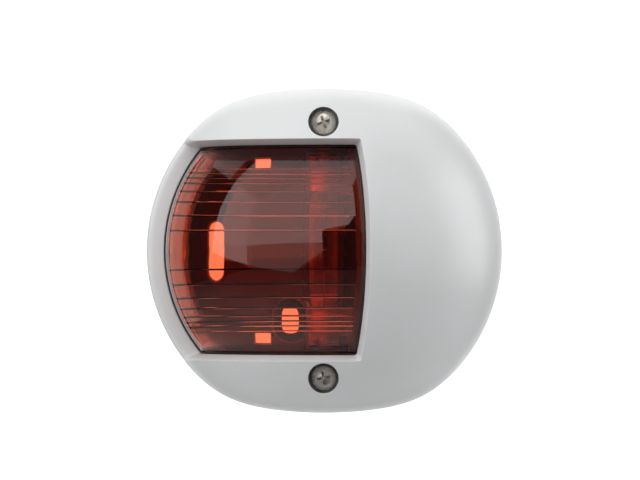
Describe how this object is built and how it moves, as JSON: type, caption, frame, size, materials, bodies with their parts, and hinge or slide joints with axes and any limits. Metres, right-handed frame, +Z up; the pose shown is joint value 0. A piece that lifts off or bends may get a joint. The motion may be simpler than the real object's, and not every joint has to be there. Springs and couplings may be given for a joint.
{
  "type": "navigation light",
  "caption": "Port side light for an upright wall: a white ball-shaped housing with a ribbed red lens, seen from ahead to 22.5 degrees abaft the beam, round a festoon lamp.",
  "frame": {"origin": "centre of the flat back of the wall gasket, level with the middle of the lamp and on the upright line of the two cover screws", "axes": "+Z up, +Y into the wall, +X to the right of someone facing the light; the window faces -Y and -X"},
  "size_m": [0.08, 0.0525, 0.0728],
  "materials": {
    "white_abs": "satin moulded, UV stable white",
    "red_lens": "clear red, polished outside, with fine moulded ribs inside",
    "black_rubber": "matt",
    "black_moulding": "fine matt moulding, dark",
    "stainless_steel": "bright, slightly worn",
    "brass": "satin strip",
    "nickel_plate": "nickel plated",
    "lamp_glass": "clear",
    "tungsten": "drawn wire"
  },
  "bodies": {
    "base": {"back_plate": "white_abs", "wall_gasket": "black_rubber", "cover_seal": "black_rubber", "light_screen": "black_moulding", "cable_grommet": "black_rubber", "lamp_carrier": "black_moulding", "contact_bracket_upper": "brass", "contact_rivet_upper": "brass", "terminal_clamp_upper": "stainless_steel", "terminal_screw_upper": "brass", "carrier_screw_upper": "stainless_steel", "contact_bracket_lower": "brass", "contact_rivet_lower": "brass", "terminal_clamp_lower": "stainless_steel", "terminal_screw_lower": "brass", "carrier_screw_lower": "stainless_steel"},
    "cover": {"cover_shell": "white_abs", "lens": "red_lens", "lens_seal": "black_rubber", "lens_retainer": "black_moulding"},
    "lamp": {"lamp_glass": "lamp_glass", "lamp_cap_upper": "nickel_plate", "lamp_cap_lower": "nickel_plate", "lamp_filament": "tungsten"},
    "upper_screw_washer": {"screw_washer_upper": "black_rubber"},
    "upper_screw": {"cover_screw_upper": "stainless_steel"},
    "upper_leaf": {"spring_leaf_upper": "brass"},
    "lower_screw_washer": {"screw_washer_lower": "black_rubber"},
    "lower_screw": {"cover_screw_lower": "stainless_steel"},
    "lower_leaf": {"spring_leaf_lower": "brass"}
  },
  "joints": [
    {"name": "cover_pull", "type": "slide", "parent": "base", "child": "cover", "axis": [0, -1, 0], "range_m": [0, 0.045]},
    {"name": "lamp_pull", "type": "slide", "parent": "base", "child": "lamp", "axis": [0, -1, 0], "range_m": [0, 0.014]},
    {"name": "upper_screw_travel", "type": "slide", "parent": "cover", "child": "upper_screw_washer", "axis": [0, -1, 0], "range_m": [0, 0.0099]},
    {"name": "upper_screw_turn", "type": "hinge", "parent": "upper_screw_washer", "child": "upper_screw", "pos_m": [0, -0.0351, 0.0281], "axis": [0, -1, 0], "range_deg": [0, 3240.5]},
    {"name": "lower_screw_travel", "type": "slide", "parent": "cover", "child": "lower_screw_washer", "axis": [0, -1, 0], "range_m": [0, 0.0099]},
    {"name": "lower_screw_turn", "type": "hinge", "parent": "lower_screw_washer", "child": "lower_screw", "pos_m": [0, -0.0351, -0.0281], "axis": [0, -1, 0], "range_deg": [0, 3240.5]},
    {"name": "upper_leaf_flex", "type": "hinge", "parent": "base", "child": "upper_leaf", "pos_m": [0, -0.009, 0.0204], "axis": [-1, 0, 0], "range_deg": [0, 4], "stiffness_Nm_per_rad": 0.3},
    {"name": "lower_leaf_flex", "type": "hinge", "parent": "base", "child": "lower_leaf", "pos_m": [0, -0.009, -0.0204], "axis": [1, 0, 0], "range_deg": [0, 4], "stiffness_Nm_per_rad": 0.3}
  ],
  "couplings": [
    {"joint": "upper_screw_turn", "follows": "upper_screw_travel", "rad_per_m": 5712},
    {"joint": "lower_screw_turn", "follows": "lower_screw_travel", "rad_per_m": 5712}
  ]
}
